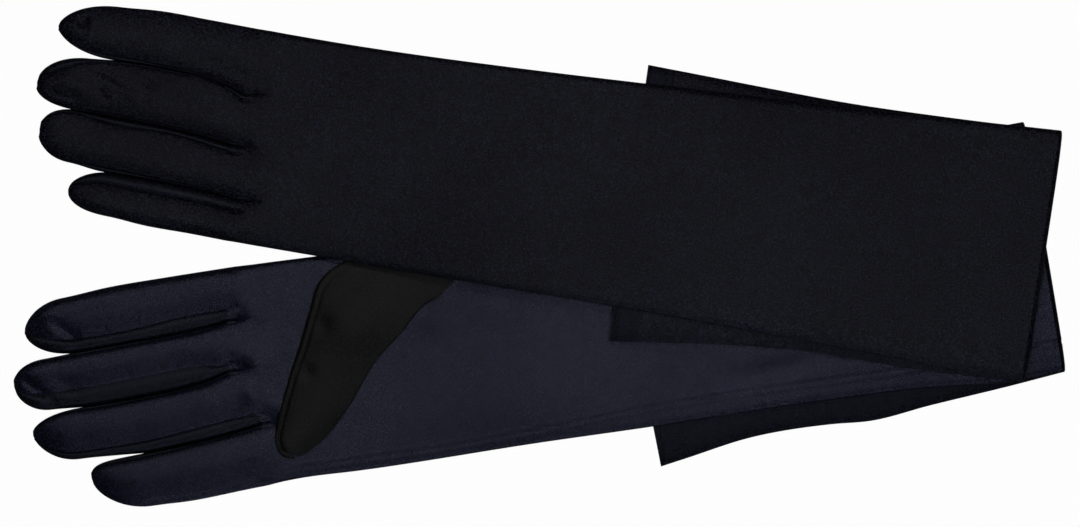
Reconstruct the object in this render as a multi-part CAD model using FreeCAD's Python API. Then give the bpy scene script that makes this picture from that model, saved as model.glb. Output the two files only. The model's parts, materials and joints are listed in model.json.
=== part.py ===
import FreeCAD, Part

import os
from math import cos, pi, sin

from FreeCAD import Placement, Rotation, Vector

os.makedirs("parts", exist_ok=True)

# A pair of long stretch-satin opera gloves laid flat, the left one partly on the right one, each
# with the upper end of its arm folded once under itself. Every glove is described in its own
# frame: u runs from the middle fingertip up the arm, v across the hand to the thumb side, z up.
# The row frame has +X up the arms, +Y to the left glove's side, and its origin at the middle of
# the whole pair's box, on the table. Sizes are in millimetres and degrees.

# Cloth and layers
FABRIC = 0.4             # one thickness of satin
TUBE_GAP = 2.2           # left inside a flattened hand, arm, finger or thumb
CUFF_GAP = 4.6           # left inside the looser section that is folded under
HEM_EXTRA = 0.3          # the hem is turned twice, so it is this much thicker, outwards
EDGE_WALL = 0.8          # fabric that turns over at a folded or sewn edge
LAYER_CLEAR = 0.3        # from one flattened layer to the next
JOINT_CLEAR = 0.2        # each side of the line that two moving lengths of cloth share
SIDE_CLEAR = 0.2         # each side of the line between two fingers

# Lengths along a glove and half-widths across it
WRIST_U = 140.0
FOREARM_U = 256.0
FOREARM_HALF = 47.3
FOLD_HALF = 53.2
CUFF_LENGTH = 174.0
HEM_HALF = 58.75
HEM_SKEW = 4.5           # the folded section runs off line by this much at its hem
HEM_BAND = 12.0
TIP_ROUND = 25.0         # length over which a fingertip rounds off
TIP_STEPS = 8

# The folded section's height decides where a draped arm climbs onto it
RIGHT_CLIMB_BACK = 16.0  # from the hem to the top of the right arm's climb
RIGHT_CLIMB = 40.0
LEFT_CLIMB_BACK = 4.0
LEFT_CLIMB = 80.0
KNUCKLE_CLIMB = 44.0     # the left fingers rise from the table to the lifted hand
KNUCKLE_FLAT = 4.0

# The thumb: its free outline in (u, v from the palm's thumb edge), and where it is sewn in
THUMB_OUTLINE = [
    (133.0, -8.0), (120.3, -35.6), (108.0, -60.5), (103.2, -73.5), (111.5, -83.2),
    (122.0, -78.6), (134.2, -67.7), (147.6, -50.7), (162.5, -38.3), (174.0, -28.0), (186.5, -22.5),
]
THUMB_SEAT_U = (136.0, 192.0)
THUMB_SEAT_DEPTH = 25.0
THUMB_COVER_CLEAR = 3.3  # from the left glove's edge to the right thumb's turning line

# Each finger, thumb side first: tip u, tip v, edges half-way down, width at the root
RIGHT_GLOVE = {
    "name": "right", "fold_u": 434.0, "root_u": 90.0, "turn": 9.43, "fold_xy": (211.5, 4.4),
    "skew": -1, "up": "palm", "down": "back",
    "fingers": {
        "index": (7.0, 33.5, 23.3, 47.0, 23.1),
        "middle": (-1.0, 12.0, 0.0, 20.3, 20.3),
        "ring": (3.5, -9.5, -23.2, -2.0, 24.0),
        "little": (24.8, -31.0, -46.8, -24.7, 26.0),
    },
}
LEFT_GLOVE = {
    "name": "left", "fold_u": 428.0, "root_u": 88.0, "turn": -8.68, "fold_xy": (210.4, 0.0),
    "skew": -1, "up": "back", "down": "palm",
    "fingers": {
        "index": (6.7, 33.5, 23.4, 46.1, 27.7),
        "middle": (1.4, 8.8, -0.7, 23.0, 21.9),
        "ring": (5.4, -10.5, -23.0, -1.1, 22.0),
        "little": (21.1, -34.0, -43.5, -24.8, 18.3),
    },
}
FINGERS = ("index", "middle", "ring", "little")

# Heights of the flattened layers, from the table up
TUBE = 2 * FABRIC + TUBE_GAP
CUFF_TUBE = 2 * FABRIC + CUFF_GAP
CUFF_STACK = CUFF_TUBE + 2 * HEM_EXTRA
RIGHT_CUFF_Z = HEM_EXTRA
RIGHT_ARM_Z = CUFF_STACK + LAYER_CLEAR
LEFT_CUFF_Z = RIGHT_ARM_Z + TUBE + LAYER_CLEAR + HEM_EXTRA
LEFT_ARM_Z = LEFT_CUFF_Z + CUFF_TUBE + HEM_EXTRA + LAYER_CLEAR
LEFT_HAND_Z = TUBE + 2 * LAYER_CLEAR + FABRIC
REACH = 400.0            # longer than any cut has to be
TABLE = [(-REACH, 0.0), (2 * REACH, 0.0)]


def palm_half(glove):
    """Half the palm's width: the four finger roots side by side."""
    return sum(glove["fingers"][name][4] for name in FINGERS) / 2


def plate(points):
    """A flat face in plan inside straight edges."""
    corners = [Vector(u, v, 0) for u, v in points]
    return Part.Face(Part.makePolygon(corners + corners[:1]))


def curve(points):
    """A smooth edge through points in plan."""
    spline = Part.BSplineCurve()
    spline.interpolate([Vector(u, v, 0) for u, v in points])
    return spline.toShape()


def line(a, b):
    return Part.makeLine(Vector(*a, 0), Vector(*b, 0))


def band(low_v, high_v, low_u=-REACH, high_u=2 * REACH):
    """A rectangle in plan."""
    return plate([(low_u, low_v), (high_u, low_v), (high_u, high_v), (low_u, high_v)])


def shift(shape, u=0.0, v=0.0):
    moved = shape.copy()
    moved.translate(Vector(u, v, 0))
    return moved


def drape(plan, profile, low, high):
    """The solids that a plan shape fills from low to high above a drape line, one for each run."""
    solids = []
    for (u1, z1), (u2, z2) in zip(profile, profile[1:]):
        corners = [(u1, z1 + low), (u2, z2 + low), (u2, z2 + high), (u1, z1 + high)]
        side = [Vector(u, -REACH, z) for u, z in corners]
        run = Part.Face(Part.makePolygon(side + side[:1])).extrude(Vector(0, 2 * REACH, 0))
        solids += run.common(plan.extrude(Vector(0, 0, REACH))).Solids
    return Part.makeCompound(solids)


def finger_edges(glove, name):
    """Where a finger's two edges meet its root line, in v."""
    top = palm_half(glove)
    for other in FINGERS:
        width = glove["fingers"][other][4]
        if other == name:
            return top - width + SIDE_CLEAR, top - SIDE_CLEAR
        top -= width


def finger_plan(glove, name):
    """A finger's outline: straight sides to a shoulder, then half an ellipse that leans to its tip."""
    tip_u, tip_v, low, high, _ = glove["fingers"][name]
    root_low, root_high = finger_edges(glove, name)
    root_u = glove["root_u"] - JOINT_CLEAR
    shoulder_u = tip_u + TIP_ROUND
    middle, half = (low + high) / 2, (high - low) / 2
    angles = [pi * step / TIP_STEPS - pi / 2 for step in range(TIP_STEPS + 1)]
    tip = [(shoulder_u - TIP_ROUND * cos(a), middle + half * sin(a) + (tip_v - middle) * cos(a) ** 2)
           for a in angles]
    edges = [line((root_u, root_low), tip[0]), curve(tip), line(tip[-1], (root_u, root_high)),
             line((root_u, root_high), (root_u, root_low))]
    return Part.Face(Part.Wire(edges))


def arm_plan(glove):
    """The hand and forearm's outline, from the finger roots to the fold."""
    root_u, fold_u = glove["root_u"] + JOINT_CLEAR, glove["fold_u"] - JOINT_CLEAR
    half = palm_half(glove)
    stations = [(root_u, half), (WRIST_U, half), (FOREARM_U, FOREARM_HALF), (fold_u, FOLD_HALF)]
    low = [(u, -v) for u, v in stations]
    edges = [curve(stations), line(stations[-1], low[-1]), curve(low[::-1]), line(low[0], stations[0])]
    return Part.Face(Part.Wire(edges))


def cuff_plan(glove, from_hem=0.0, to_hem=CUFF_LENGTH):
    """The folded section between two distances from its hem, widening to the hem and off line."""
    def at(distance, side):
        share = 1 - distance / CUFF_LENGTH
        half = FOLD_HALF + (HEM_HALF - FOLD_HALF) * share
        return glove["fold_u"] - CUFF_LENGTH + distance, side * half + glove["skew"] * HEM_SKEW * share
    return plate([at(from_hem, -1), at(to_hem, -1), at(to_hem, 1), at(from_hem, 1)])


def edge_wall(plan, side, from_u=-REACH, to_u=2 * REACH):
    """The strip just inside a plan's thumb-side (+1) or little-side (-1) edge."""
    strip = plan.cut(shift(plan, v=-side * EDGE_WALL)).common(band(-REACH, REACH, from_u, to_u))
    return max(strip.Faces, key=lambda face: face.Area)


def put(glove):
    """From a glove's own frame to the row frame, before the pair is centred."""
    turned = Placement(Vector(*glove["fold_xy"], 0), Rotation(Vector(0, 0, 1), glove["turn"]))
    return turned.multiply(Placement(Vector(-glove["fold_u"], 0, 0), Rotation()))


def drape_line(glove):
    """How high a glove's hand and arm lie above the table, from fingertip to fold."""
    root, fold = glove["root_u"], glove["fold_u"]
    hem = fold - CUFF_LENGTH
    if glove is RIGHT_GLOVE:
        top = hem - RIGHT_CLIMB_BACK
        return [(-REACH, 0), (top - RIGHT_CLIMB, 0), (top, RIGHT_ARM_Z), (fold, RIGHT_ARM_Z)]
    top, lifted = hem - LEFT_CLIMB_BACK, root - KNUCKLE_FLAT
    return [(-REACH, 0), (lifted - KNUCKLE_CLIMB, 0), (lifted, LEFT_HAND_Z),
            (top - LEFT_CLIMB, LEFT_HAND_Z), (top, LEFT_ARM_Z), (fold, LEFT_ARM_Z)]


def cover_line():
    """The left glove's lower edge over the right palm, as two points in the right glove's frame."""
    back = put(RIGHT_GLOVE).inverse()
    half = palm_half(LEFT_GLOVE)
    stations = [(WRIST_U, -half - THUMB_COVER_CLEAR), (WRIST_U + REACH / 4, -half - THUMB_COVER_CLEAR)]
    return [back.multVec(put(LEFT_GLOVE).multVec(Vector(u, v, 0))) for u, v in stations]


def thumb_line(glove):
    """The line that a glove's thumb turns about: two points in its own frame."""
    if glove is RIGHT_GLOVE:
        return cover_line()
    edge = palm_half(glove) + JOINT_CLEAR + LAYER_CLEAR
    return [Vector(THUMB_SEAT_U[0], edge, 0), Vector(THUMB_SEAT_U[1], edge, 0)]


def thumb_side(glove, offset):
    """Everything on the thumb's side of its turning line, moved off it by a clearance."""
    start, end = thumb_line(glove)
    along = (end - start).normalize()
    across = Vector(along.y, -along.x, 0)
    start = start + across * offset
    corners = [start - along * REACH, start + along * REACH,
               start + along * REACH + across * REACH, start - along * REACH + across * REACH]
    return plate([(c.x, c.y) for c in corners])


def thumb_free(glove, inset=0.0):
    """The free part of the thumb's outline, or a line that far inside it."""
    edge = palm_half(glove)
    points = [Vector(u, edge + v, 0) for u, v in THUMB_OUTLINE]
    before, after = points[:1] + points[:-1], points[1:] + points[-1:]
    inward = [Vector(a.y - b.y, b.x - a.x, 0).normalize() for a, b in zip(before, after)]
    return [(p + n * inset)[:2] for p, n in zip(points, inward)]


def thumb_plan(glove):
    """The whole thumb's outline, up to where it is sewn into the palm."""
    free, top = thumb_free(glove), palm_half(glove) + 2 * THUMB_COVER_CLEAR
    low_end, high_end = (THUMB_SEAT_U[1], top), (THUMB_SEAT_U[0], top)
    edges = [curve(free), line(free[-1], low_end), line(low_end, high_end), line(high_end, free[0])]
    return Part.Face(Part.Wire(edges))


def thumb_seam_plan(glove):
    """The narrow strip just inside the thumb's free outline."""
    outer, inner = thumb_free(glove), thumb_free(glove, EDGE_WALL)
    edges = [curve(outer), line(outer[-1], inner[-1]), curve(inner[::-1]), line(inner[0], outer[0])]
    return Part.Face(Part.Wire(edges))


def seat_plan(glove):
    """The patch of palm that the thumb is sewn to."""
    edge = palm_half(glove)
    return band(edge - THUMB_SEAT_DEPTH, edge - EDGE_WALL, *THUMB_SEAT_U)


def finger_nodes(glove, profile):
    """Each finger's back and palm pieces, its fourchettes, and the outer fingers' own edges."""
    side, found = glove["name"], {}
    for name in FINGERS:
        plan = finger_plan(glove, name)
        body_u = glove["fingers"][name][0] + TIP_ROUND / 2
        walls = {1: "thumb_side_fourchette", -1: "little_side_fourchette"}
        if name == "index":
            walls[1] = "folded_edge"
        if name == "little":
            walls[-1] = "side_seam"
        found[f"{side}_{name}_{glove['down']}"] = drape(plan, profile, 0, FABRIC)
        found[f"{side}_{name}_{glove['up']}"] = drape(plan, profile, TUBE - FABRIC, TUBE)
        for direction, word in walls.items():
            strip = edge_wall(plan, direction, body_u)
            found[f"{side}_{name}_{word}"] = drape(strip, profile, FABRIC, TUBE - FABRIC)
    return found


def arm_nodes(glove, profile):
    """Hand and forearm in one: two faces, the folded edge, and the long side seam."""
    side, plan = glove["name"], arm_plan(glove)
    return {
        f"{side}_arm_{glove['down']}": drape(plan, profile, 0, FABRIC),
        f"{side}_arm_{glove['up']}": drape(plan, profile, TUBE - FABRIC, TUBE),
        f"{side}_arm_folded_edge": drape(edge_wall(plan, 1), profile, FABRIC, TUBE - FABRIC),
        f"{side}_arm_side_seam": drape(edge_wall(plan, -1), profile, FABRIC, TUBE - FABRIC),
    }


def cuff_nodes(glove, base):
    """The section folded under the arm: two faces, two edges, and the hem band round its mouth."""
    side, level = glove["name"], [(u, z + base) for u, z in TABLE]
    whole = cuff_plan(glove, HEM_BAND, CUFF_LENGTH - JOINT_CLEAR)
    hem = cuff_plan(glove, 0.0, HEM_BAND)
    band_solids = [
        drape(hem, level, -HEM_EXTRA, FABRIC),
        drape(hem, level, CUFF_TUBE - FABRIC, CUFF_TUBE + HEM_EXTRA),
        drape(edge_wall(hem, 1), level, FABRIC, CUFF_TUBE - FABRIC),
        drape(edge_wall(hem, -1), level, FABRIC, CUFF_TUBE - FABRIC),
    ]
    return {
        f"{side}_cuff_{glove['up']}": drape(whole, level, 0, FABRIC),
        f"{side}_cuff_{glove['down']}": drape(whole, level, CUFF_TUBE - FABRIC, CUFF_TUBE),
        f"{side}_cuff_folded_edge": drape(edge_wall(whole, 1), level, FABRIC, CUFF_TUBE - FABRIC),
        f"{side}_cuff_side_seam": drape(edge_wall(whole, -1), level, FABRIC, CUFF_TUBE - FABRIC),
        f"{side}_hem_band": Part.makeCompound([s for shape in band_solids for s in shape.Solids]),
    }


def thumb_nodes(glove, profile):
    """A thumb folded flat: two faces, the seam round its edge, and the seat it is sewn to."""
    side = glove["name"]
    free = thumb_plan(glove).common(thumb_side(glove, JOINT_CLEAR)).Faces[0]
    seam = thumb_seam_plan(glove).common(thumb_side(glove, JOINT_CLEAR))
    seam = max(seam.Faces, key=lambda face: face.Area)
    if glove is RIGHT_GLOVE:
        line_under, base, seat_base = profile, TUBE + LAYER_CLEAR, TUBE
        seat = seat_plan(glove).cut(thumb_side(glove, -JOINT_CLEAR)).Faces[0]
    else:
        line_under, base, seat_base = TABLE, 0.0, -FABRIC
        seat = seat_plan(glove)
    return {
        f"{side}_thumb_under": drape(free, line_under, base, base + FABRIC),
        f"{side}_thumb_over": drape(free, line_under, base + TUBE - FABRIC, base + TUBE),
        f"{side}_thumb_seam": drape(seam, line_under, base + FABRIC, base + TUBE - FABRIC),
        f"{side}_thumb_seat": drape(seat, profile, seat_base, seat_base + FABRIC),
    }


def glove_nodes(glove, cuff_base):
    profile = drape_line(glove)
    found = arm_nodes(glove, profile)
    found.update(cuff_nodes(glove, cuff_base))
    found.update(finger_nodes(glove, profile))
    found.update(thumb_nodes(glove, profile))
    for shape in found.values():
        shape.Placement = put(glove).multiply(shape.Placement)
    return found


nodes = glove_nodes(RIGHT_GLOVE, RIGHT_CUFF_Z)
nodes.update(glove_nodes(LEFT_GLOVE, LEFT_CUFF_Z))
box = Part.makeCompound(list(nodes.values())).BoundBox
centre = Vector(-box.Center.x, -box.Center.y, 0)
for node_name, node_shape in nodes.items():
    node_shape.translate(centre)
    node_shape.exportStep(f"parts/{node_name}.step")
print(len(nodes), "nodes,", f"{box.XLength:.1f} x {box.YLength:.1f} x {box.ZLength:.2f} mm")
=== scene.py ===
import json
import math

import bmesh
import bpy
import numpy as np
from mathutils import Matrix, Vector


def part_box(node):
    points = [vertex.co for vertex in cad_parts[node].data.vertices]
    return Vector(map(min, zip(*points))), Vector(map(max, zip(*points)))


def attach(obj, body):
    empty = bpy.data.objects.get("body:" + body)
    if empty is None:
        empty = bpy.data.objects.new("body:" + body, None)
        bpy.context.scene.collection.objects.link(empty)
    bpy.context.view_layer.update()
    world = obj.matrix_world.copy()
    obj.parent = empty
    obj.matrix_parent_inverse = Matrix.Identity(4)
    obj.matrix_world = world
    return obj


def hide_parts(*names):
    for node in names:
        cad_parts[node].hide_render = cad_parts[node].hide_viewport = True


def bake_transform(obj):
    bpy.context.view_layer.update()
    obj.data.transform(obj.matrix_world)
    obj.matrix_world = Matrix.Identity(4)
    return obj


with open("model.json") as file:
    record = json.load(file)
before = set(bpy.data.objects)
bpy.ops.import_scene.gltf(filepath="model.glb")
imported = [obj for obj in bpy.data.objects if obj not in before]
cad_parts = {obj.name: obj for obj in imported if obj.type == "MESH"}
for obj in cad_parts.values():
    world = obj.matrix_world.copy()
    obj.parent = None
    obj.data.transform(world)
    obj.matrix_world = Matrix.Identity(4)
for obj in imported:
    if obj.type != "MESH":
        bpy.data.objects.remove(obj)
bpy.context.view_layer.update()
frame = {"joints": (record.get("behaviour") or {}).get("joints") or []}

# The table, the camera and the lights.
# The gloves lie on a plain white surface and are seen from straight above, so far off that the
# upper glove looks no bigger than the lower one. Three soft lamps make the satin's sheen.
MM = 0.001
TABLE_SIDE = 12.0
VIEW_CENTRE = (1.1 * MM, -3.5 * MM)
VIEW_WIDTH = 453.6 * MM
CAMERA_HEIGHT = 4.0
SENSOR = 36.0

corners = [(-1, -1, 0), (1, -1, 0), (1, 1, 0), (-1, 1, 0)]
table_mesh = bpy.data.meshes.new("table")
table_mesh.from_pydata([tuple(c * TABLE_SIDE / 2 for c in p) for p in corners], [], [(0, 1, 2, 3)])
table = bpy.data.objects.new("table", table_mesh)
bpy.context.collection.objects.link(table)
table_paint = bpy.data.materials.new("white_table")
table_paint.use_nodes = True
shader = table_paint.node_tree.nodes["Principled BSDF"]
shader.inputs["Base Color"].default_value = (0.02, 0.02, 0.02, 1)
shader.inputs["Roughness"].default_value = 1.0
shader.inputs["Specular IOR Level"].default_value = 0.0
shader.inputs["Emission Color"].default_value = (1, 1, 1, 1)
shader.inputs["Emission Strength"].default_value = 0.98
table_mesh.materials.append(table_paint)
table.visible_diffuse = False
table.visible_glossy = False

camera = bpy.data.objects.new("camera", bpy.data.cameras.new("camera"))
camera.location = (*VIEW_CENTRE, CAMERA_HEIGHT)
camera.data.sensor_width = SENSOR
camera.data.lens = SENSOR * CAMERA_HEIGHT / VIEW_WIDTH
camera.data.clip_end = 100
bpy.context.collection.objects.link(camera)
bpy.context.scene.camera = camera
bpy.context.scene.view_settings.view_transform = "Standard"


def lamp(name, place, aim, size, power, colour):
    """A square soft lamp at one point, turned to face another."""
    data = bpy.data.lights.new(name, "AREA")
    data.size, data.energy, data.color = size, power, colour
    found = bpy.data.objects.new(name, data)
    found.location = place
    found.rotation_euler = (Vector(aim) - Vector(place)).to_track_quat("-Z", "Y").to_euler()
    found.visible_camera = False
    bpy.context.collection.objects.link(found)


lamp("top_lamp", (0.13, -0.06, 0.8), (0.08, -0.03, 0), 0.24, 0.56, (0.93, 0.95, 1.0))
lamp("far_lamp", (-0.30, 0.56, 1.10), (-0.1, 0, 0), 0.16, 1.00, (0.96, 0.97, 1.0))
lamp("near_lamp", (0.10, -0.90, 0.42), (0.02, 0, 0), 0.20, 0.55, (0.80, 0.86, 1.0))
world = bpy.context.scene.world or bpy.data.worlds.new("room")
bpy.context.scene.world = world
world.use_nodes = True
world.node_tree.nodes["Background"].inputs["Color"].default_value = (0.95, 0.97, 1.0, 1)
world.node_tree.nodes["Background"].inputs["Strength"].default_value = 0.03

# Where each glove lies.
# A glove is laid out in its own millimetres: u from the middle fingertip up the arm, v across to
# the thumb side, z up. Its place in the frame comes from the hinge line where its arm is folded.
joints = {joint["name"]: joint for joint in frame["joints"]}


class Place:
    """One glove's own millimetres against the frame's metres."""

    def __init__(self, side, fold_u, root_u):
        joint = joints[f"{side}_fold"]
        sign = -1 if side == "right" else 1
        self.side, self.fold_u, self.root_u = side, fold_u, root_u
        self.across = np.array(joint["axis"]) * sign
        self.along = np.array([self.across[1], -self.across[0], 0.0])
        self.fold = np.array(joint["pos_m"])

    def put(self, u, v, z):
        """Points in metres from the glove's own millimetres."""
        u, v, z = np.broadcast_arrays(np.asarray(u, float), v, z)
        shift = (u - self.fold_u)[..., None] * self.along + v[..., None] * self.across
        flat = self.fold * (1, 1, 0) + MM * shift
        return flat + np.stack([0 * z, 0 * z, z * MM], -1)

    def own(self, points):
        """A glove's own u and v of points in metres."""
        off = (points - self.fold) / MM
        return off @ self.along + self.fold_u, off @ self.across


right = Place("right", 434.0, 90.0)
left = Place("left", 428.0, 88.0)


def step(low, high, value):
    """Smooth rise from 0 at low to 1 at high."""
    t = np.clip((value - low) / (high - low), 0, 1)
    return t * t * (3 - 2 * t)


def through(stations, value):
    """A smooth curve through stations (position, value, ...): cubic spans with mean slopes."""
    table_ = np.asarray(stations, float)
    x, y = table_[:, 0], table_[:, 1:]
    slope = np.gradient(y, x, axis=0)
    value = np.clip(np.asarray(value, float), x[0], x[-1])
    i = np.clip(np.searchsorted(x, value, side="right") - 1, 0, len(x) - 2)
    width = (x[i + 1] - x[i])[..., None]
    t = ((value - x[i])[..., None]) / width
    a, b, m, n = y[i], y[i + 1], slope[i] * width, slope[i + 1] * width
    return a + m * t + (3 * (b - a) - 2 * m - n) * t ** 2 + (2 * (a - b) + m + n) * t ** 3


# How the layers rest on each other, from the table up.
# The right cuff section, the right arm, the left cuff section and the left arm lie in that order.
# Each layer follows what is under it, and slopes to the table where the layer below ends.
right_arm_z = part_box("right_cuff_back")[1].z / MM + 0.6
left_cuff_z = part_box("left_cuff_back")[0].z / MM
left_arm_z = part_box("left_cuff_palm")[1].z / MM + 0.6
HEM_U = {"right": 260.0, "left": 254.0}


def right_base(points):
    """Height under the right hand and arm: flat on the table, then up on its own folded section."""
    u, _ = right.own(points)
    return 0.15 + (right_arm_z - 0.15) * step(HEM_U["right"] - 112, HEM_U["right"] - 4, u)


def right_top(points):
    """Height of the right glove's upper side, fading to the table past its edges."""
    u, v = right.own(points)
    inside = step(96, 48, np.abs(v)) * step(70, 130, u)
    return inside * (right_base(points) + 2.9)


def left_base(points):
    """Height under the left hand and arm: over the right glove, and up on its own folded section."""
    u, v = left.own(points)
    hand = np.cbrt(right_top(points) ** 3 + (3.2 * thumb_under(u, v)) ** 3) * step(52, 96, u) + 0.3
    arm = left_arm_z - 5.0 * droop(points)
    climb = step(HEM_U["left"] - 165, HEM_U["left"] - 4, u)
    return hand + (arm - hand) * climb


def droop(points):
    """0 over the right arm and at the left fold, and 1 well past the right arm's upper edge, where
    the left arm sags."""
    u, v = right.own(points)
    own_u, _ = left.own(points)
    return step(46, 96, v) * step(430, 380, u) * step(left.fold_u, left.fold_u - 90, own_u)


def thumb_under(u, v):
    """1 where the left thumb lies folded under its palm, with a long soft edge."""
    middle, half = 118 + 0.75 * (v + 30), 12 + 0.2 * np.maximum(v + 37, 0)
    return step(half + 30, half - 2, np.abs(u - middle)) * step(-68, -36, v)


# The satin, and how a piece of it becomes a mesh.
# It is a stretch satin: near black, a fine warp-faced weave with a navy sheen. Its base colour holds a fine
# speckle whose bright grains are painted glints of that sheen, and broad random clouds of painted light and
# shade, rougher where darker. Thumb and fourchettes look duller than the rest.
CLOTH = 0.35 * MM


def satin(name, dark, glint_colour, gloss, tint, rough, speckle):
    """Base colour from fine speckle with painted glints and broad clouds of painted light and shade, bump
    from two crossing sets of threads.
    """
    material = bpy.data.materials.new(name)
    material.use_nodes = True
    nodes, links = material.node_tree.nodes, material.node_tree.links
    shader = nodes["Principled BSDF"]
    where = nodes.new("ShaderNodeTexCoord")
    fine = nodes.new("ShaderNodeTexNoise")
    fine.inputs["Scale"].default_value = 1400.0
    fine.inputs["Detail"].default_value = 3.0
    fine.inputs["Roughness"].default_value = 0.7
    clouds = nodes.new("ShaderNodeTexNoise")
    clouds.inputs["Scale"].default_value = 16.0
    clouds.inputs["Detail"].default_value = 4.0
    # Fine speckle: dark grains, and bright grains painted in as glints of the sheen.
    speckle_and_glints = nodes.new("ShaderNodeValToRGB")
    speckle_and_glints.color_ramp.elements[0].position = 0.50
    speckle_and_glints.color_ramp.elements[0].color = (*[c * (1 - speckle) for c in dark], 1)
    speckle_and_glints.color_ramp.elements[1].position = 0.66
    speckle_and_glints.color_ramp.elements[1].color = (*[c * (1 + 8 * speckle) for c in glint_colour], 1)
    shade = nodes.new("ShaderNodeMix")
    shade.data_type = "RGBA"
    shade.blend_type = "MULTIPLY"
    shade.inputs["Factor"].default_value = 0.5
    # Broad clouds painted lighter and darker into the base colour: painted light and shade.
    painted_cloud_shade = nodes.new("ShaderNodeMapRange")
    painted_cloud_shade.inputs["From Min"].default_value = 0.3
    painted_cloud_shade.inputs["From Max"].default_value = 0.7
    painted_cloud_shade.inputs["To Min"].default_value = 0.45
    painted_cloud_shade.inputs["To Max"].default_value = 1.3
    dull = nodes.new("ShaderNodeMapRange")
    dull.inputs["From Min"].default_value = 0.3
    dull.inputs["From Max"].default_value = 0.7
    dull.inputs["To Min"].default_value = rough - 0.40
    dull.inputs["To Max"].default_value = rough - 0.50
    spread = nodes.new("ShaderNodeMath")
    spread.operation = "MULTIPLY_ADD"
    spread.inputs[1].default_value = 0.9
    for node in (fine, clouds):
        links.new(where.outputs["Object"], node.inputs["Vector"])
    links.new(fine.outputs["Fac"], speckle_and_glints.inputs["Fac"])
    links.new(clouds.outputs["Fac"], painted_cloud_shade.inputs["Value"])
    links.new(clouds.outputs["Fac"], dull.inputs["Value"])
    links.new(speckle_and_glints.outputs["Color"], shade.inputs["A"])
    links.new(painted_cloud_shade.outputs["Result"], shade.inputs["B"])
    links.new(shade.outputs["Result"], shader.inputs["Base Color"])
    links.new(dull.outputs["Result"], spread.inputs[2])
    links.new(fine.outputs["Fac"], spread.inputs[0])
    links.new(spread.outputs["Value"], shader.inputs["Roughness"])
    shader.inputs["Specular IOR Level"].default_value = gloss
    shader.inputs["Specular Tint"].default_value = (*tint, 1)
    threads = []
    for turn in (0, math.pi / 2):
        turned = nodes.new("ShaderNodeMapping")
        turned.inputs["Rotation"].default_value[2] = turn
        wave = nodes.new("ShaderNodeTexWave")
        wave.inputs["Scale"].default_value = 180.0
        wave.inputs["Distortion"].default_value = 1.5
        wave.inputs["Detail"].default_value = 1.0
        links.new(nodes.new("ShaderNodeUVMap").outputs["UV"], turned.inputs["Vector"])
        links.new(turned.outputs["Vector"], wave.inputs["Vector"])
        threads.append(wave)
    weave = nodes.new("ShaderNodeMath")
    weave.operation = "MAXIMUM"
    links.new(threads[0].outputs["Fac"], weave.inputs[0])
    links.new(threads[1].outputs["Fac"], weave.inputs[1])
    relief_node = nodes.new("ShaderNodeBump")
    relief_node.inputs["Strength"].default_value = 0.35
    relief_node.inputs["Distance"].default_value = 0.00006
    links.new(weave.outputs["Value"], relief_node.inputs["Height"])
    rough_node = nodes.new("ShaderNodeBump")
    rough_node.inputs["Strength"].default_value = 1.0
    rough_node.inputs["Distance"].default_value = 0.00013
    links.new(fine.outputs["Fac"], rough_node.inputs["Height"])
    links.new(relief_node.outputs["Normal"], rough_node.inputs["Normal"])
    links.new(rough_node.outputs["Normal"], shader.inputs["Normal"])
    return material


NAVY = (0.70, 0.72, 1.0)
right_satin = satin("right_satin", (0.0040, 0.0042, 0.0105), (0.0082, 0.0090, 0.0230), 0.76, NAVY, 0.27, 0.45)
left_satin = satin("left_satin", (0.0046, 0.0045, 0.0072), (0.0098, 0.0098, 0.0190), 0.30,
                   (0.86, 0.86, 1.0), 0.34, 0.7)
fourchette_satin = satin("fourchette_satin", (0.0044, 0.0044, 0.0062), (0.0076, 0.0078, 0.0120),
                         0.50, NAVY, 0.34, 0.5)


def cloth(name, points, uv, material, replaced, ring=True, pole=False):
    """A grid of points in metres as one sheet. A ring's last column meets its first, and a pole's
    first row is one point."""
    rows, columns = points.shape[:2]
    index = np.arange(rows * columns).reshape(rows, columns)
    near = index if ring else index[:, :-1]
    beside = np.roll(index, -1, axis=1) if ring else index[:, 1:]
    quads = np.stack([near[:-1], near[1:], beside[1:], beside[:-1]], -1).reshape(-1, 4)
    mesh = bpy.data.meshes.new(name)
    mesh.from_pydata(points.reshape(-1, 3), [], quads.tolist())
    layer = mesh.uv_layers.new(name="UVMap")
    layer.data.foreach_set("uv", uv.reshape(-1, 2)[quads.ravel()].astype(np.float32).ravel())
    mesh.polygons.foreach_set("use_smooth", np.ones(len(quads), bool))
    edges = np.empty(2 * len(mesh.edges), np.int32)
    mesh.edges.foreach_get("vertices", edges)
    row, column = np.divmod(edges.reshape(-1, 2), columns)
    rim = (row == 0).all(1) | (row == rows - 1).all(1)
    if not ring:
        rim |= (column == 0).all(1) | (column == columns - 1).all(1)
    mesh.edges.foreach_set("use_edge_sharp", rim)
    if pole:
        shape = bmesh.new()
        shape.from_mesh(mesh)
        bmesh.ops.remove_doubles(shape, verts=shape.verts, dist=1e-6)
        shape.to_mesh(mesh)
        shape.free()
    mesh.materials.append(material)
    piece = bpy.data.objects.new(name, mesh)
    bpy.context.collection.objects.link(piece)
    solid = piece.modifiers.new("cloth_thickness", "SOLIDIFY")
    solid.thickness, solid.offset = CLOTH, -1
    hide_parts(*replaced)
    return piece


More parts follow.
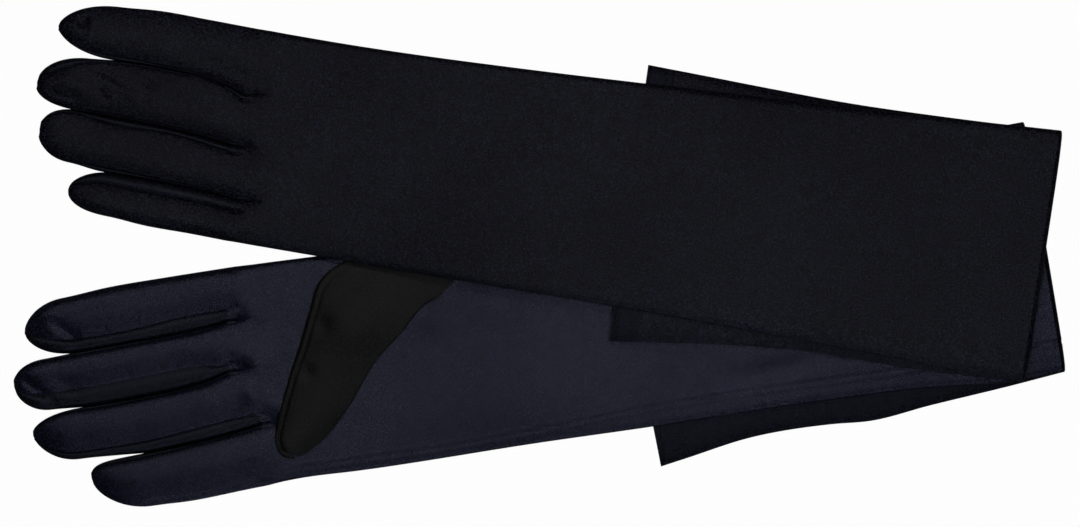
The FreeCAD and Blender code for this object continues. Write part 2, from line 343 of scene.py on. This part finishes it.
# Seams and creases of the flattened cloth.
# A seam is a narrow sunk line with a raised lip, where two pieces are sewn face to face. A crease
# is a longer, softer ridge or valley. Both are lines in a glove's own millimetres.
SEAMS = {
    "right": [
        [(93, 29.4), (94.6, 27.5), (94.6, 25.6), (92.6, 24.4)],
        [(88, 7.6), (91.6, 6.8), (92.4, 5), (90, 3.2)],
        [(95, -16), (101, -17.4), (102.4, -19.4), (100, -21)],
        [(46, -44.6), (68, -45.2), (90, -43.6), (112, -41.2), (133, -41.4), (175, -42.4), (214, -41.6),
         (265, -39.8),
         (316, -40.3), (368, -41.6), (400, -41.2), (434, -40.5)],
    ],
    "left": [
        [(88, 14.4), (91.4, 15.4), (91.8, 17.2), (89, 18.4)],
        [(87, -8.4), (89.6, -7.4), (89.8, -5.4), (87, -4.4)],
        [(91.4, -32.5), (94.6, -31), (94.8, -28.4), (92, -27)],
    ],
}
CREASES = {
    "right": [
        ((20, 36), (28, 28), 2.2, -1.2), ((14, 40), (22, 38), 2.5, 0.5),
        ((4, 14), (14, 4), 2.0, -1.3), ((18, 12), (26, 6), 2.5, -0.5),
        ((88, 10), (112, 6), 5.0, 0.7), ((86, 4), (110, -10), 4.0, -0.5), ((98, -14), (104, -20), 3.0, -0.6),
        ((100, 20), (128, 8), 8.0, -0.6), ((150, -25), (240, -30), 12.0, 0.5),
        ((190, 5), (250, 0), 12.0, -0.4),
        ((258, -8), (330, -30), 6.0, 0.6), ((300, -34), (345, -30), 4.0, -0.7),
        ((345, -36), (420, -44), 4.0, 0.7),
        ((176, 8), (200, 14), 5.0, 0.7), ((176, 20), (186, 28), 1.4, -0.9), ((180, 18), (190, 27), 1.2, 0.7),
        ((268, -26), (276, -34), 3.0, -0.6), ((92, 24), (106, 26), 4.0, 0.6), ((95, -2), (99, -14), 4.0, 0.9),
    ],
    "left": [
        ((15, 36), (19, 37), 2.4, -1.2), ((66, 29), (96, 22), 4.0, -0.7), ((27, 18), (38, 13), 1.8, -0.9),
        ((46, 16.5), (51, 13.5), 1.6, -0.8), ((28, 9.5), (32, 5), 1.6, -0.9), ((33, 14), (44, 8), 2.2, 0.6),
        ((8, 5), (19, 4), 2.0, -0.9), ((10, 12), (22, 9), 2.4, 0.5), ((56, 9), (72, 10), 3.0, -0.5),
        ((235, -9.3), (385, -9.3), 3.0, 0.18), ((150, 20), (240, 14), 16.0, 0.35),
        ((120, -20), (200, -26), 12.0, -0.3),
    ],
}


def smooth_line(points, steps=240):
    """Even steps along the smooth curve through a list of points."""
    points = np.asarray(points, float)
    ends = np.hypot(*np.diff(points, axis=0).T).cumsum()
    along = np.concatenate([[0], ends])
    return through(np.column_stack([along, points]), np.linspace(0, along[-1], steps))


def far_from(line, u, v):
    """Distance from every (u, v) to the nearest of a line's points."""
    spot = np.stack([u.ravel(), v.ravel()], -1)
    best = np.full(len(spot), np.inf)
    for some in np.array_split(line, 12):
        gap = np.hypot(spot[:, None, 0] - some[None, :, 0], spot[:, None, 1] - some[None, :, 1])
        best = np.minimum(best, gap.min(axis=1))
    return best.reshape(u.shape)


def relief(side, u, v):
    """Height that seams and creases add to the upper side, in millimetres."""
    height = np.zeros(u.shape)
    for seam in SEAMS[side]:
        gap = far_from(smooth_line(seam), u, v)
        height += 0.28 * np.exp(-((gap - 1.3) / 0.8) ** 2) - 0.85 * np.exp(-(gap / 0.7) ** 2)
    for start, end, width, rise in CREASES[side]:
        start, end = np.array(start, float), np.array(end, float)
        run = end - start
        t = ((u - start[0]) * run[0] + (v - start[1]) * run[1]) / (run @ run)
        off = ((u - start[0]) * run[1] - (v - start[1]) * run[0]) / np.sqrt(run @ run)
        height += rise * np.exp(-(off / width) ** 2) * step(-0.35, 0.2, t) * step(1.35, 0.8, t)
    return height


def ripple(u, v, seed):
    """Slow unevenness of cloth that lies on cloth: a few long waves in fixed directions."""
    draw = np.random.default_rng(seed)
    total = np.zeros(np.broadcast(u, v).shape)
    for _ in range(9):
        angle, length, phase = draw.uniform(0, math.pi), draw.uniform(18, 60), draw.uniform(0, 2 * math.pi)
        along = u * math.cos(angle) + v * math.sin(angle)
        total += np.sin(along * 2 * math.pi / length + phase) * length / 60
    return total / 6


# Fingers: four on each glove.
# Each is a back and a palm face joined by fourchettes, lies flat underneath and stands a little
# proud above. A finger's mesh starts at its tip and ends on the line where the hand's mesh starts.
LOBE = 44
UNDER_SEAM = 9
FINGER_ROWS = 80
FINGER_HEIGHT = 6.4
TUCK = 0.9
HAND_HEIGHT = 3.4
EDGE_SHARE = 0.36
SEAM_LEVEL = 0.42
SKEW = {"right": 0.34, "left": -0.26}
lean = np.linspace(-1, 1, LOBE + 1)
ACROSS = 0.45 * lean + 0.55 * np.sin(lean * math.pi / 2)

# name: (tip u, tip v, rounding length, rounding power), free low edge, free high edge
FINGERS = {
    "right": {
        "little": ((24.8, -31.0, 24, 0.45), [(24.8, -46.8), (52, -46.8), (64, -47.3), (85, -46.6)],
                   [(24.8, -24.5), (40, -24.5)]),
        "ring": ((3.5, -9.5, 18, 0.6), [(3.5, -22.4), (24, -22.4), (38, -23.4)], [(3.5, -1.4), (16, -1.4)]),
        "middle": ((-1.0, 12.0, 14, 0.5), [(-1, 0.2), (14, 0.0)], [(-1, 21.6), (16, 21.7)]),
        "index": ((7.0, 33.5, 18, 0.6), [(7, 22.6), (18, 22.4)],
                  [(7, 45.6), (25, 45.6), (45, 46.9), (70, 47.0)]),
    },
    "left": {
        "little": ((21.1, -34.0, 18, 0.5), [(21, -42.6), (40, -42.6), (55, -44.0), (75, -44.5)],
                   [(21, -24.6)]),
        "ring": ((5.4, -10.5, 14, 0.45), [(5.4, -22.3), (22, -22.8)], [(5.4, -0.3), (20, -0.3)]),
        "middle": ((1.4, 8.8, 20, 0.45), [(1.4, -0.6), (18, -0.5)], [(1.4, 21.6), (22, 21.9)]),
        "index": ((6.7, 33.5, 24, 0.6), [(6.7, 22.9), (24, 22.8)],
                  [(6.7, 45.0), (32, 45.2), (48, 46.1), (70, 45.5)]),
    },
}
# Where neighbouring fingers lie against each other, from the little finger's side to the index's
TOUCHING = {
    "right": [[(50, -24.3), (62, -24.0), (75, -23.4), (88, -22.2)],
              [(26, -1.0), (48, -1.2), (66, -0.6), (78, 0.6)],
              [(26, 22.1), (46, 22.2), (68, 22.4), (80, 22.9)]],
    "left": [[(32, -24.2), (50, -24.4), (66, -24.9), (80, -25.8)],
             [(28, -0.5), (45, -1.1), (62, -2.1), (76, -3.4)],
             [(32, 22.7), (48, 22.9), (62, 22.3), (76, 20.6)]],
}
# The seams between a finger's upper face and its fourchettes, on the little and the thumb side
LOW_SEAMS = {
    "right": {"ring": [(12, -19.2), (30, -19.6), (52, -19.3), (73, -17.4), (93, -15.5)],
              "middle": [(11, 7), (35, 6.9), (56, 7.6), (77, 7.9), (88, 6.9)],
              "index": [(10, 30.5), (21, 28.3), (38, 27.2), (55, 27.8), (72, 29.2), (92, 29.7)]},
    "left": {"ring": [(12, -21.6), (50, -23.4), (90, -26.4)],
             "middle": [(12, -0.1), (50, -0.7), (86, -4.2)],
             "index": [(12, 24.2), (50, 23.6), (88, 18)]},
}
HIGH_SEAMS = {
    "right": {"little": [(40, -26.4), (60, -25.2), (92, -21.4)],
              "ring": [(12, -2), (50, -1.9), (88, 2.6)],
              "middle": [(12, 20.6), (45, 21.4), (91, 23.6)]},
    "left": {"little": [(28, -28.8), (55, -30.1), (77, -31.1), (92, -32.6)],
             "ring": [(20, -1.9), (36, -4.1), (62, -4.6), (87, -8.2)],
             "middle": [(8, 16), (22, 20), (34, 21.3), (60, 20.9), (81, 19), (88, 14.6)]},
}
# Where the fingers part, from the little finger's outer edge to the index finger's
PARTINGS = {
    "right": np.array([(92, -46.3), (99.4, -20.6), (88.8, 3.4), (91.8, 24.2), (95, 46.8)]),
    "left": np.array([(90, -45.1), (92, -27.2), (86.6, -5.0), (88, 17.2), (90, 44.8)]),
}
ORDER = ("little", "ring", "middle", "index")
BASES = {"right": right_base, "left": left_base}
PLACES = {"right": right, "left": left}
SATINS = {"right": right_satin, "left": left_satin}


def finger_round(x):
    """A finger's upper side across its width: round in the middle, steep at the edges."""
    return (1 - np.abs(x) ** 2.1) ** 0.66


def sleeve_round(a, sag=0.35, power=6):
    """A sleeve's upper side across its width: nearly flat, sagging and rolled over at the edges."""
    roll = np.clip((np.abs(a) - 0.94) / 0.06, 0, 1)
    return (1 - sag * np.abs(a) ** power) * np.sqrt(1 - roll ** 2)


def ring_of(top, bottom):
    """An upper and a lower sheet with shared edges as one ring of columns."""
    return np.concatenate([top, bottom[:, -2:0:-1]], axis=1)


def seam_profile(x, low, high, skew):
    """A finger's upper side with its fourchettes, which lie lower beyond the seams at low and high;
    a low of -1 or a high of 1 is a side with no fourchette in sight. skew moves the face's top."""
    middle, half = (low + high) / 2, (high - low) / 2
    level = SEAM_LEVEL * np.where(x < middle, low > -1, high < 1)
    across = np.clip((x - middle) / half, -1, 1)
    face = level + (1 - level) * finger_round(across - skew * (1 - across ** 2))
    rising = (x + 1) / np.maximum(low + 1, 1e-6)
    falling = (1 - x) / np.maximum(1 - high, 1e-6)
    t = np.clip(np.where(x < low, rising, falling), 0, 1)
    strip = 0.72 * finger_round(1 - t) - (0.72 - SEAM_LEVEL) * t ** 5
    return np.where((x < low) | (x > high), strip, face)


def shell(side, u, v, full, under, height, lift, tuck=0):
    """The upper and lower sheets of a flattened tube; full and under are 0 at its edges. tuck is how
    far the lower sheet reaches out under its neighbour."""
    place, base = PLACES[side], BASES[side](PLACES[side].put(u, v, 0 * u))
    edge = EDGE_SHARE * height
    top = base + edge + (height - edge) * full + lift * under
    low = base + edge * (1 - under ** 0.5) * (1 - 0.75 * tuck / TUCK)
    points = ring_of(place.put(u, v, top), place.put(u, v - tuck, low))
    flat = ring_of(np.stack([u, v], -1), np.stack([u, 200 - v], -1)) * 0.01
    return points, flat


def seam_columns(side, name):
    """The columns where a finger's upper face is sewn to its fourchettes: 0 or the last for none."""
    partings = PARTINGS[side][ORDER.index(name):ORDER.index(name) + 2]
    found = []
    for seams, spare in ((LOW_SEAMS, 0), (HIGH_SEAMS, LOBE)):
        if name not in seams[side]:
            found.append(spare)
            continue
        share = (seams[side][name][-1][1] - partings[:, 1].mean()) / (np.ptp(partings[:, 1]) / 2)
        found.append(int(np.abs(ACROSS - share).argmin()))
    return found


def finger_grid(side, number):
    """A finger's u, v and height from its tip to its root, and its seams' shares of its width."""
    name = ORDER[number]
    (tip_u, tip_v, round_length, power), low_edge, high_edge = FINGERS[side][name]
    root = PARTINGS[side][number:number + 2]
    share = (ACROSS + 1) / 2
    root_u = root[0, 0] + (root[1, 0] - root[0, 0]) * share
    t = np.linspace(0, 1, FINGER_ROWS)[:, None]
    t = 0.5 * t + 0.5 * t ** 2
    u = tip_u + (root_u.mean() - tip_u) * t + (root_u - root_u.mean()) * t ** 3
    along = u.mean(axis=1, keepdims=True)
    lines = [[], *TOUCHING[side], []]
    low = through([*low_edge, *lines[number], tuple(root[0])], u[:, :1])[..., 0]
    high = through([*high_edge, *lines[number + 1], tuple(root[1])], u[:, -1:])[..., 0]
    columns = seam_columns(side, name)
    knots = [np.full_like(low, -1), np.full_like(low, 1)]
    for k, seams in enumerate((LOW_SEAMS, HIGH_SEAMS)):
        if name in seams[side]:
            line = through(seams[side][name], along)[..., 0]
            line = np.clip((line - (low + high) / 2) / ((high - low) / 2), -0.94, 0.94)
            knots[k] = line + (ACROSS[columns[k]] - line) * step(root_u.mean() - 10, root_u.mean(), along)
    at = [-1, *ACROSS[columns], 1]
    x = np.array([np.interp(ACROSS, at, [-1, a, b, 1]) for a, b in zip(knots[0][:, 0], knots[1][:, 0])])
    turn = np.clip(1 - (along - tip_u) / round_length, 0, 1)
    rounding = (1 - turn ** 2) ** power
    rounding[0] = 0
    middle = (low + high) / 2 + (tip_v - (low + high) / 2) * turn ** 2
    v = middle + (high - low) / 2 * rounding * x
    v[-1] = root[0, 1] + (root[1, 1] - root[0, 1]) * share
    full = seam_profile(x, knots[0], knots[1], SKEW[side])
    return u, v, FINGER_HEIGHT * rounding ** 0.8 + 0 * u, full, finger_round(x)


def finger(side, number):
    """One finger's faces and fourchettes."""
    name = ORDER[number]
    u, v, height, full, under = finger_grid(side, number)
    root_u = PARTINGS[side][number:number + 2, 0].mean()
    lift = relief(side, u, v) + 0.6 * ripple(u, v, number + 10) * step(root_u, root_u - 15, u)
    meets = {"little": 1000, "ring": 50, "middle": 26, "index": 26}[name]
    tuck = TUCK * np.exp(-((ACROSS + 0.93) / 0.055) ** 2) * step(meets - 8, meets, u)
    tuck[:, 0] = 0
    points, flat = shell(side, u, v, full, under, height, lift * np.minimum(height / 3, 1), tuck)
    low, high = seam_columns(side, name)
    high_under, low_under = LOBE + UNDER_SEAM, 2 * LOBE - UNDER_SEAM
    upper, lower = ("palm", "back") if side == "right" else ("back", "palm")
    thumb_strip = (high, high_under, "thumb_side_fourchette", ["thumb_side_fourchette"])
    little_strip = (low_under, 2 * LOBE + low, "little_side_fourchette", ["little_side_fourchette"])
    if name == "index":
        strips = [(low, low_under, "faces", ["back", "palm", "folded_edge"]), little_strip]
    elif name == "little":
        strips = [(high_under, 2 * LOBE + high, "faces", ["back", "palm", "side_seam"]), thumb_strip]
    else:
        strips = [(low, high, upper, [upper]), thumb_strip, (high_under, low_under, lower, [lower]),
                  little_strip]
    place, root = PLACES[side], PARTINGS[side][:, 0].min() - 0.5
    for first, last, part, nodes in strips:
        picked = np.arange(first, last + 1) % (2 * LOBE)
        paint = fourchette_satin if "fourchette" in part else SATINS[side]
        piece = cloth(f"{side}_{name}_{part}_cloth", points[:, picked], flat[:, picked], paint,
                      [f"{side}_{name}_{node}" for node in nodes], ring=False, pole=True)
        place.put(root, 0, 0)
        place.put(root - 14, 0, 0)
        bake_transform(piece)


for side in PLACES:
    for number in range(4):
        finger(side, number)

# Hand and forearm: one long flattened tube on each glove.
# It starts as four lobes, where the fingers join, evens out over the knuckles, and widens up the
# arm to the fold. The thumb side is a fold of the cloth and the little side a long seam.
ARM_EDGES = {
    "right": [(90, -46.3, 46.8), (113, -45.4, 46.2), (135, -46.3, 45.4), (217, -47.2, 46.0),
              (257, -48.1, 47.0),
              (334, -49.2, 49.5), (374, -50.8, 50.8), (414, -54.2, 52.0), (434, -53.6, 52.4)],
    "left": [(90, -45.1, 44.8), (137, -45.9, 44.0), (205, -47.0, 45.0), (256, -47.7, 46.6),
             (340, -50.2, 49.5),
             (428, -53.2, 53.2)],
}
ARM_ROWS = 130
lobes = np.concatenate([ACROSS[:-1] + 2 * k for k in range(4)] + [[7.0]]) + 1


def arm_grid(side):
    """The hand and forearm's u, v and how even it is: 0 where it is still four lobes, 1 beyond."""
    partings, place = PARTINGS[side], PLACES[side]
    at = np.arange(5) * 2.0
    root_u, root_v = np.interp(lobes, at, partings[:, 0]), np.interp(lobes, at, partings[:, 1])
    t = np.linspace(0, 1, ARM_ROWS)[:, None]
    t = 0.5 * t + 0.5 * t ** 2
    u = root_u + (place.fold_u - root_u) * t
    edges = through(ARM_EDGES[side], u)
    low, high = edges[..., 0], edges[..., 1]
    share = (root_v - root_v[0]) / (root_v[-1] - root_v[0])
    v = low + (high - low) * share
    v = root_v + (v - root_v) * step(0, 12, u - root_u)
    return u, v, step(0, 13, u - root_u), 2 * share - 1


def arm(side):
    """The hand and forearm of one glove, on the arm's body."""
    u, v, even, across = arm_grid(side)
    lobe = np.minimum((lobes / 2).astype(int), 3)
    x = lobes - 2 * lobe - 1
    ends = np.array([ACROSS[seam_columns(side, name)] for name in ORDER])[lobe]
    finger_full = seam_profile(x, -1, 1, SKEW[side]) * np.ones_like(u)
    seamed = seam_profile(x, ends[:, 0], ends[:, 1], SKEW[side])
    finger_full += (seamed - finger_full) * step(0.36, 0, even)
    arm_full = sleeve_round(across)
    under = finger_round(x) + (arm_full - finger_round(x)) * even
    full = finger_full + (arm_full - finger_full) * even
    height = FINGER_HEIGHT + (HAND_HEIGHT - FINGER_HEIGHT) * step(0, 50, u - PLACES[side].root_u)
    lift = relief(side, u, v) + 0.35 * ripple(u, v, 5) * step(428, 380, u) * even
    points, flat = shell(side, u, v, full, under, height, lift)
    parts = ("arm_back", "arm_palm", "arm_folded_edge", "arm_side_seam")
    piece = cloth(f"{side}_hand_and_arm", points, flat, SATINS[side],
                  [f"{side}_{part}" for part in parts])
    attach(piece, f"{side}_arm")
    return points


arm_rings = {side: arm(side)[-1] for side in PLACES}

# Cuff sections: the last 174 mm of each arm, folded under it.
# The cloth turns over at the fold in one soft roll, runs back under the arm, and ends in a turned
# and top-stitched hem with an open mouth.
CUFF_ROWS = 105
ROW_CROWDING = 1.6
CUFF_LENGTH = 174.0
ROLL_ROWS = 14
ROLL_REACH = 0.45
CUFF_EDGES = {
    "right": [(260, -65.6, 50.5), (272, -63.8, 50.2), (300, -59.6, 50.0), (335, -59.6, 50.3),
              (351, -60.9, 50.5),
              (377, -58.6, 51.0), (412, -56.0, 51.8), (434, -54.0, 52.2)],
    "left": [(254.6, -62.6, 54.5), (280, -59.4, 53.5), (306, -56.3, 52.4), (340, -54.1, 51.3),
             (380, -54.6, 51.6),
             (428, -53.2, 53.0)],
}
HEM_LINE = {"right": (261.5, 258.0), "left": (255.3, 254.0)}
CUFF_Z = {"right": (0.75, 5.4), "left": (left_cuff_z, left_cuff_z + 5.0)}
HEM_BAND = 11.0
# The right folded section is a darker, duller copy of its satin: painted shade, for where it lies below the
# arm's edge.
right_turned_shaded_satin = satin("right_turned_shaded_satin", (0.0034, 0.0035, 0.0058), (0.0066, 0.0068, 0.0120), 0.34,
                           NAVY, 0.34, 0.45)
TURNED = {"right": right_turned_shaded_satin, "left": left_satin}
hem_satin = satin("hem_satin", (0.0036, 0.0036, 0.0054), (0.0066, 0.0068, 0.0114), 0.33, NAVY, 0.34, 0.45)


def cuff_rings(side):
    """The folded section's rings from the fold to the hem: its lower sheet is the arm's upper one."""
    place, edges = PLACES[side], CUFF_EDGES[side]
    across = 2 * (lobes / 8) - 1
    t = 1 - np.linspace(1, 0, CUFF_ROWS)[:, None] ** ROW_CROWDING
    hem = HEM_LINE[side][0] + (HEM_LINE[side][1] - HEM_LINE[side][0]) * (across + 1) / 2
    u = place.fold_u + (hem - place.fold_u) * t
    bounds = through(edges, u)
    low, high = bounds[..., 0], bounds[..., 1]
    v = low + (high - low) * (across + 1) / 2
    full = sleeve_round(across, 0.8, 7) * np.ones_like(u)
    base, top = CUFF_Z[side]
    middle = (base + top) / 2
    sag = 5.0 * droop(place.put(u, v, 0 * u)) * step(0, 0.3, t) if side == "left" else 0
    stitches = 0.7 + 0.3 * np.cos(2 * math.pi * v / 2.5)
    band = 0.3 * step(HEM_BAND + 0.8, HEM_BAND - 0.8, u - hem) - 0.35 * np.exp(-((u - hem - 1.8) / 0.6) ** 2)
    band = band - 0.3 * stitches * np.exp(-((u - hem - HEM_BAND + 2) / 0.7) ** 2)
    wave = 0.25 * ripple(u, v, 21)
    upper = middle + ((top - middle) * full + band) - sag + wave * 0.5 * full
    under = middle - ((middle - base) * full + band) - sag + np.maximum(wave, 0) * 0.3 * full
    points = ring_of(place.put(u, v, under), place.put(u, v, upper))
    turned_u = 2 * place.fold_u - u
    flat = ring_of(np.stack([turned_u, v], -1), np.stack([turned_u, 200 - v], -1)) * 0.01
    return points, flat


def roll_rings(side, start_ring, end_ring):
    """Half a turn round the fold line: each column swings from the arm's end to the section's."""
    place = PLACES[side]
    levels = (start_ring[:, 2].mean() + end_ring[:, 2].mean()) / 2
    angle = np.linspace(0, math.pi, ROLL_ROWS)[:, None]
    share = step(0, math.pi, angle)[..., None]
    flat = start_ring + (end_ring - start_ring) * share
    reach = np.abs(start_ring[:, 2] - end_ring[:, 2]) / 2
    height = levels + (start_ring[:, 2] - levels) * np.maximum(np.cos(angle), 0) \
        + (end_ring[:, 2] - levels) * np.maximum(-np.cos(angle), 0)
    out = np.sin(angle) * reach * ROLL_REACH
    points = flat + out[..., None] * place.along
    points[..., 2] = height
    return points


def cuff(side):
    """The folded section with the roll that joins it to the arm, turning about the fold line."""
    points, flat = cuff_rings(side)
    roll = roll_rings(side, arm_rings[side], points[0])
    roll_flat = np.repeat(flat[:1], ROLL_ROWS - 1, axis=0)
    roll_flat[..., 0] -= np.linspace(0.1, 0.01, ROLL_ROWS - 1)[:, None]
    rings = np.concatenate([roll[:-1], points])
    flats = np.concatenate([roll_flat, flat])
    hem_start = len(rings) - 1 - round((CUFF_ROWS - 1) * (HEM_BAND / CUFF_LENGTH) ** (1 / ROW_CROWDING))
    parts = ("cuff_back", "cuff_palm", "cuff_folded_edge", "cuff_side_seam")
    piece = cloth(f"{side}_cuff", rings[:hem_start + 1], flats[:hem_start + 1], TURNED[side],
                  [f"{side}_{part}" for part in parts])
    hem = cloth(f"{side}_hem", rings[hem_start:], flats[hem_start:], hem_satin,
                [f"{side}_hem_band"])
    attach(hem, f"{side}_cuff")
    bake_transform(piece)


for side in PLACES:
    cuff(side)

# Thumbs: each a closed piece sewn into the palm, folded flat.
# The right one lies on its palm with its root under the left glove, and the left one lies folded
# under its own palm. The outer edge is a rolled seam, and the satin is dull and olive-black.
thumb_satin = satin("thumb_satin", (0.0052, 0.0052, 0.0048), (0.0080, 0.0079, 0.0074), 0.36,
                    (1.0, 0.99, 0.93), 0.40, 0.6)
THUMB_OUTER = [(0, 109, -37.6), (1, 104.2, -34.6), (2, 102.8, -28.5), (3.2, 106, -19), (5, 112.8, -4.2),
               (7, 120.3, 9.8),
               (9, 127.4, 24.5), (10.2, 132, 33.6), (11, 138, 38.6), (11.6, 145, 41.5), (12.4, 152, 46)]
THUMB_INNER = [(0, 109, -37.6), (1, 113.5, -37.4), (2, 118, -35.2), (3.2, 125, -30.2), (5, 137, -18.6),
               (7, 149.5, -3.4),
               (9, 164, 8.6), (10.2, 175, 18), (11, 184, 21.5), (11.6, 190, 25.5), (12.4, 196, 34)]
THUMB_ROWS = 80
THUMB_HEIGHT = 3.6


def thumb(side):
    """A thumb from its tip to its seat; on the left glove it is under the palm."""
    place = PLACES[side]
    t = np.linspace(0, 12.4, THUMB_ROWS)
    outer, inner = through(THUMB_OUTER, t)[:, None], through(THUMB_INNER, t)[:, None]
    share = ((ACROSS + 1) / 2)[None, :, None]
    spot = inner + (outer - inner) * share
    u, v = spot[..., 0], spot[..., 1]
    if side == "left":
        v = np.minimum(v, 0.6 * v + 15.4)
    under = finger_round(ACROSS) * np.ones_like(u)
    full = under * (0.4 + 0.6 * step(-1, 0.5, ACROSS))
    sunk = step(12.2, 9.5, t)[:, None]
    height = THUMB_HEIGHT * step(-0.4, 2.2, t)[:, None] * (0.3 + 0.7 * sunk)
    if side == "right":
        base = right_base(place.put(u, v, 0 * u)) + HAND_HEIGHT + 0.15 - 0.5 * (1 - sunk)
        height = height * (1 + 0.25 * np.exp(-((t[:, None] - 8.6) / 1.4) ** 2))
    else:
        base = 0.2 + 0 * u
        height = np.minimum(height, 2.6)
    rim = far_from(smooth_line(np.array(THUMB_OUTER)[:, 1:]), u, v)
    piping = 0.45 * np.exp(-((rim - 1.1) / 0.8) ** 2) - 0.8 * np.exp(-((rim - 2.6) / 0.6) ** 2)
    dents = relief_thumb(u, v) if side == "right" else 0
    edge = EDGE_SHARE * height * (0.3 + 0.7 * step(-1, 0, ACROSS))
    top = base + edge + (height - edge) * full + (piping + dents) * np.minimum(under * 1.6, 1) * sunk
    low = base + edge * (1 - under ** 0.5)
    points = ring_of(place.put(u, v, top), place.put(u, v, low))
    flat = ring_of(np.stack([u + v, v - u], -1), np.stack([u + v, 200 - v + u], -1)) * 0.0071
    piece = cloth(f"{side}_thumb", points, flat, thumb_satin,
                  [f"{side}_thumb_{part}" for part in ("under", "over", "seam", "seat")])
    joint = joints[f"{side}_thumb_turn"]
    line = np.array(joint["axis"])
    away = np.array([line[1], -line[0], 0.0])
    centre = place.put(150, 10, 0)
    foot = np.array(joint["pos_m"]) * (1, 1, 0)
    away *= np.sign((centre - foot) @ away)
    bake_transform(piece)


def relief_thumb(u, v):
    """Shallow dents along the right thumb's outer side, and the soft swelling over its root."""
    total = np.zeros(u.shape)
    for at_u, at_v, width, rise in ((131, 17, 4.0, -1.1), (121.5, -2, 3.0, -0.9), (143, 12, 9.0, 0.9),
                                      (126, -22, 6, 0.5), (150, 32, 6.0, -0.6), (165, 30, 6.0, 0.5)):
        total += rise * np.exp(-((u - at_u) ** 2 + (v - at_v) ** 2) / width ** 2)
    return total


for side in PLACES:
    thumb(side)
